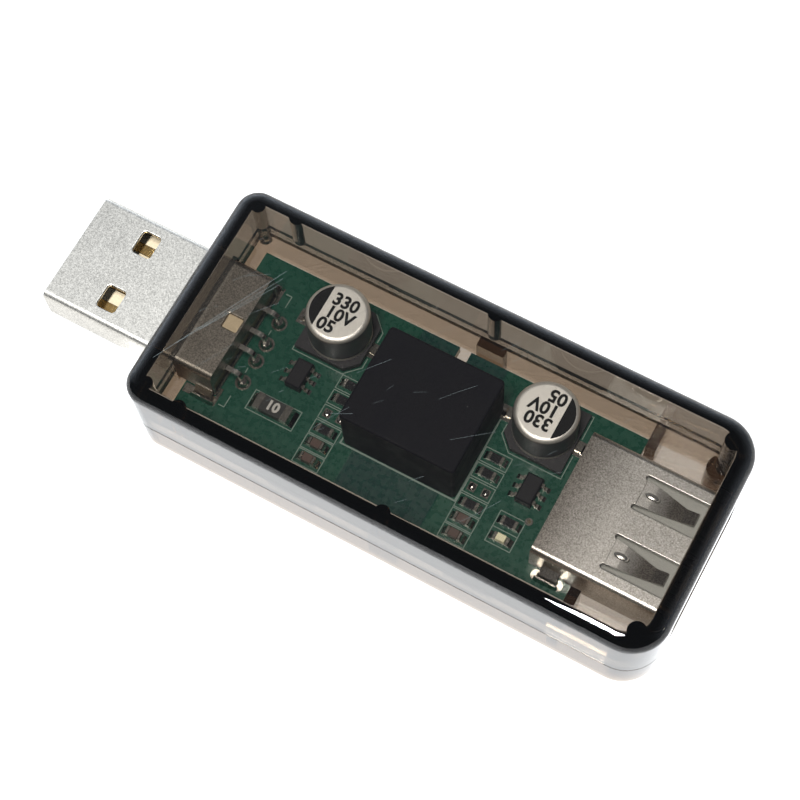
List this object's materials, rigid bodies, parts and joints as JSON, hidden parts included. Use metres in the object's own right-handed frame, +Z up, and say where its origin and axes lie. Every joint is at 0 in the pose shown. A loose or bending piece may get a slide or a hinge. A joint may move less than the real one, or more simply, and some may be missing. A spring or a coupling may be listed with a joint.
{
  "type": "usb isolator adapter",
  "caption": "In-line USB isolator: male plug, circuit board with converter and capacitors, and female socket in a clear smoke-tinted case.",
  "frame": {"origin": "centre of the underside of the case", "axes": "+X from the plug to the socket, +Z up out of the cover, +Y to the side with the two capacitors"},
  "size_m": [0.0675, 0.0242, 0.013],
  "materials": {
    "smoke_plastic": "clear smoke-tinted, polished",
    "board_green": "glass-fibre laminate with green solder mask",
    "tin": "tinned, soft shine",
    "nickel": "nickel plated, fine grain",
    "plug_plastic": "off-white moulded",
    "socket_plastic": "grey moulded",
    "contact_gold": "gold flashed",
    "converter_black": "fine matt moulding",
    "potting": "potting resin",
    "can_aluminium": "satin drawn can with a printed black segment",
    "bung_rubber": "matt",
    "base_black": "matt moulded",
    "chip_black": "moulded epoxy",
    "fuse_black": "matt",
    "resistor_black": "glazed",
    "ceramic_tan": "sintered ceramic",
    "led_white": "white laminate",
    "led_lens": "clear resin over the chip",
    "solder": "bright solder"
  },
  "bodies": {
    "adapter": {"board_lands": "tin", "capacitor_bases": "base_black", "capacitor_bungs": "bung_rubber", "capacitor_cans": "can_aluminium", "capacitor_leads": "tin", "case_bottom": "smoke_plastic", "case_top": "smoke_plastic", "ceramic_bodies": "ceramic_tan", "ceramic_terminals": "tin", "circuit_board": "board_green", "converter_case": "converter_black", "converter_pins": "tin", "converter_potting": "potting", "esd_bodies": "chip_black", "esd_leads": "tin", "fuse_body": "fuse_black", "fuse_terminals": "tin", "isolator_body": "chip_black", "isolator_leads": "tin", "led_base": "led_white", "led_lens": "led_lens", "led_terminals": "tin", "plug_contacts": "contact_gold", "plug_insulator": "plug_plastic", "plug_shell": "nickel", "resistor_bodies": "resistor_black", "resistor_terminals": "tin", "socket_contact_tails": "contact_gold", "socket_insulator": "socket_plastic", "socket_shell": "nickel", "solder_chips": "solder", "solder_leads": "solder", "solder_legs": "solder", "solder_plug": "solder", "solder_socket": "solder"},
    "spring_top_far": {"spring_top_far": "nickel"},
    "spring_top_near": {"spring_top_near": "nickel"},
    "spring_bottom_far": {"spring_bottom_far": "nickel"},
    "spring_bottom_near": {"spring_bottom_near": "nickel"},
    "socket_contact_beams": {"socket_contact_beams": "contact_gold"}
  },
  "joints": [
    {"name": "spring_top_far_flex", "type": "hinge", "parent": "adapter", "child": "spring_top_far", "pos_m": [0.01922, 0.00318, 0.00772], "axis": [0, -1, 0], "range_deg": [0, 5.5], "stiffness_Nm_per_rad": 0.14},
    {"name": "spring_top_near_flex", "type": "hinge", "parent": "adapter", "child": "spring_top_near", "pos_m": [0.01922, -0.00318, 0.00772], "axis": [0, -1, 0], "range_deg": [0, 5.5], "stiffness_Nm_per_rad": 0.14},
    {"name": "spring_bottom_far_flex", "type": "hinge", "parent": "adapter", "child": "spring_bottom_far", "pos_m": [0.01922, 0.00318, 0.00228], "axis": [0, 1, 0], "range_deg": [0, 5.5], "stiffness_Nm_per_rad": 0.14},
    {"name": "spring_bottom_near_flex", "type": "hinge", "parent": "adapter", "child": "spring_bottom_near", "pos_m": [0.01922, -0.00318, 0.00228], "axis": [0, 1, 0], "range_deg": [0, 5.5], "stiffness_Nm_per_rad": 0.14},
    {"name": "contact_beams_flex", "type": "hinge", "parent": "adapter", "child": "socket_contact_beams", "pos_m": [0.01798, 0, 0.0053], "axis": [0, -1, 0], "range_deg": [0, 3.5], "stiffness_Nm_per_rad": 0.38}
  ]
}
